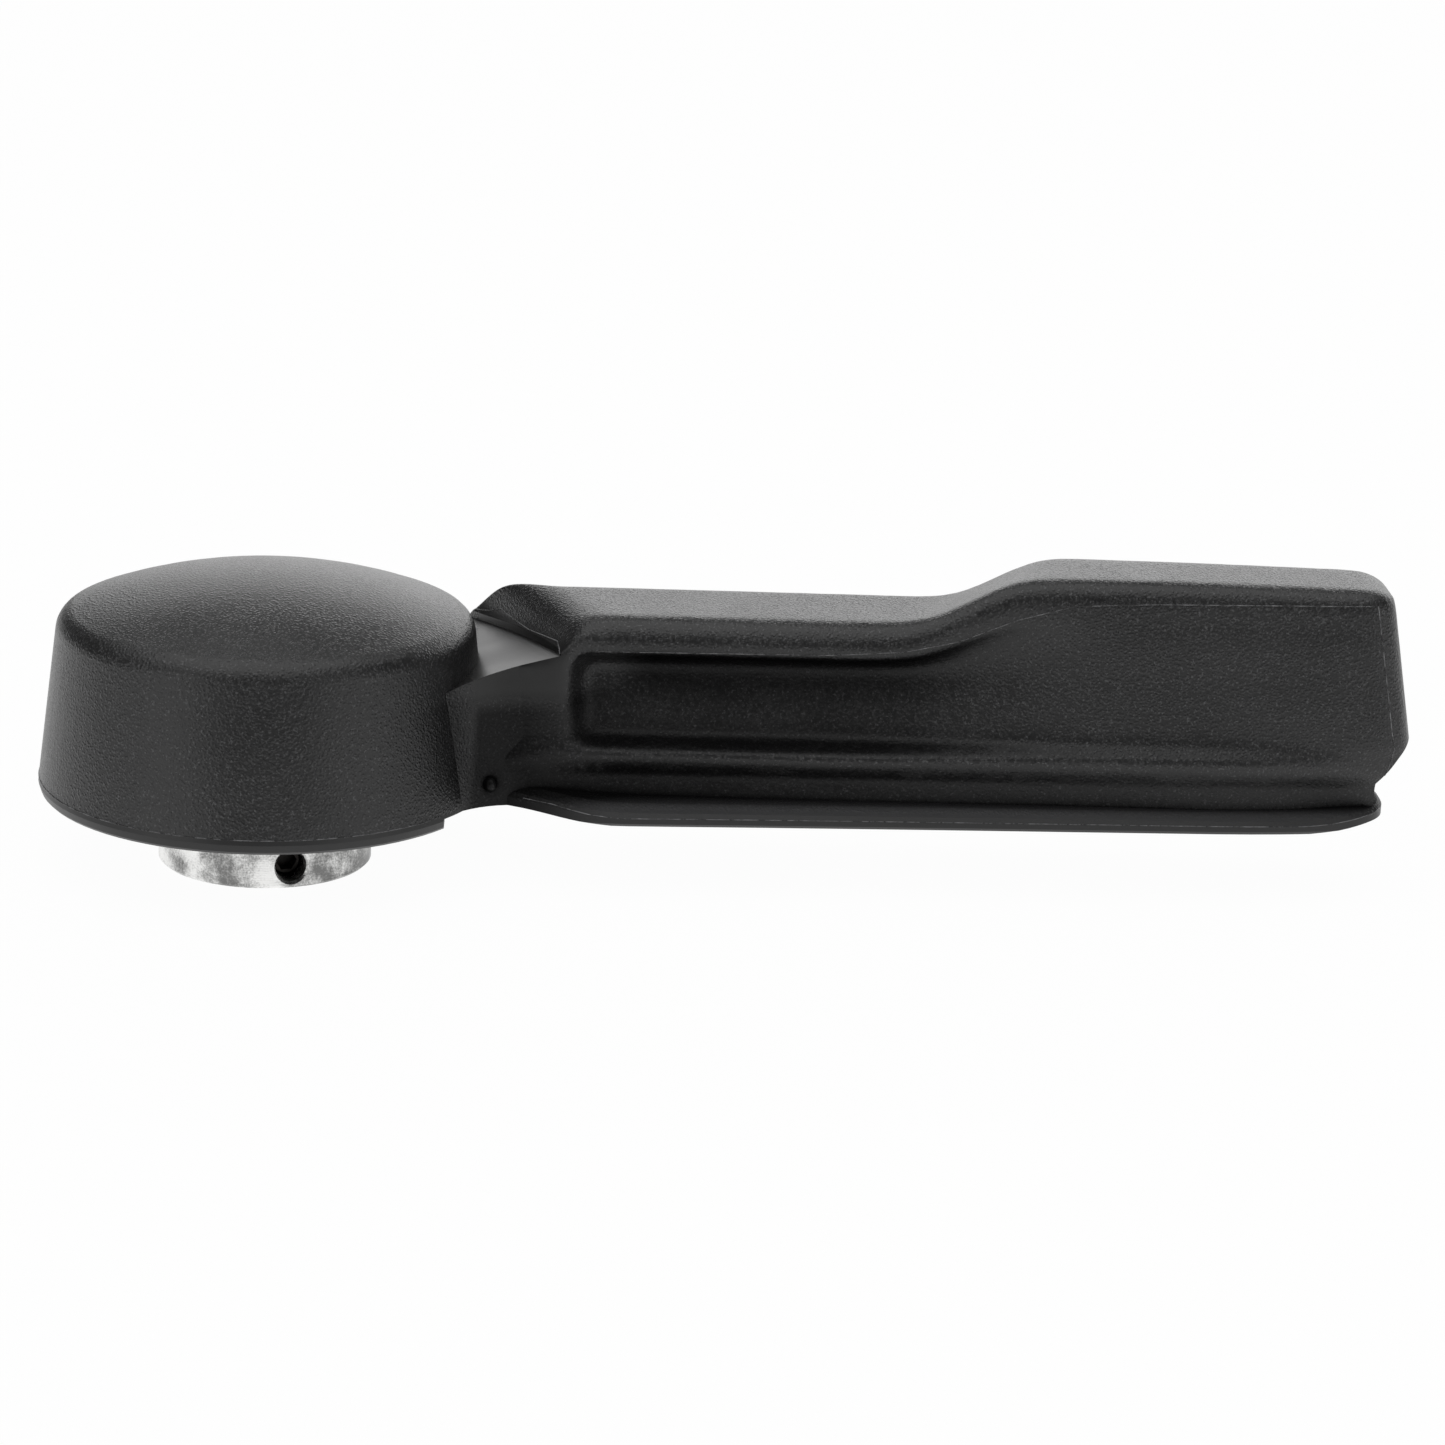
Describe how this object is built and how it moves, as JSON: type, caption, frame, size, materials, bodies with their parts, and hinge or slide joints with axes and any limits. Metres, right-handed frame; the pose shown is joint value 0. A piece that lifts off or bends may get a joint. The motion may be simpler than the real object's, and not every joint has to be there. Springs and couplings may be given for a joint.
{
  "type": "seat release handle",
  "caption": "Moulded lever handle on a round domed hub, with a metal sleeve that slides on a shaft and clamps by a grub screw; turning it releases a seat backrest.",
  "frame": {"origin": "centre of the metal sleeve's open end face, on the hub's axis", "axes": "+Z along the hub's axis from the sleeve towards the dome, +X along the arm towards its tip; the finger groove faces -Y"},
  "size_m": [0.1478, 0.0486, 0.0347],
  "materials": {
    "black_moulding": "black, with a coarse spark-eroded grain",
    "cast_metal": "die-cast, turned end, lightly mottled",
    "screw_steel": "blackened and lightly oiled"
  },
  "bodies": {
    "handle": {"handle_body": "black_moulding", "hub_insert": "cast_metal"},
    "screw": {"set_screw": "screw_steel"}
  },
  "joints": [
    {"name": "screw_travel", "type": "slide", "parent": "handle", "child": "screw", "axis": [0.309, -0.9511, 0], "range_m": [-0.0009, 0.0022]}
  ]
}
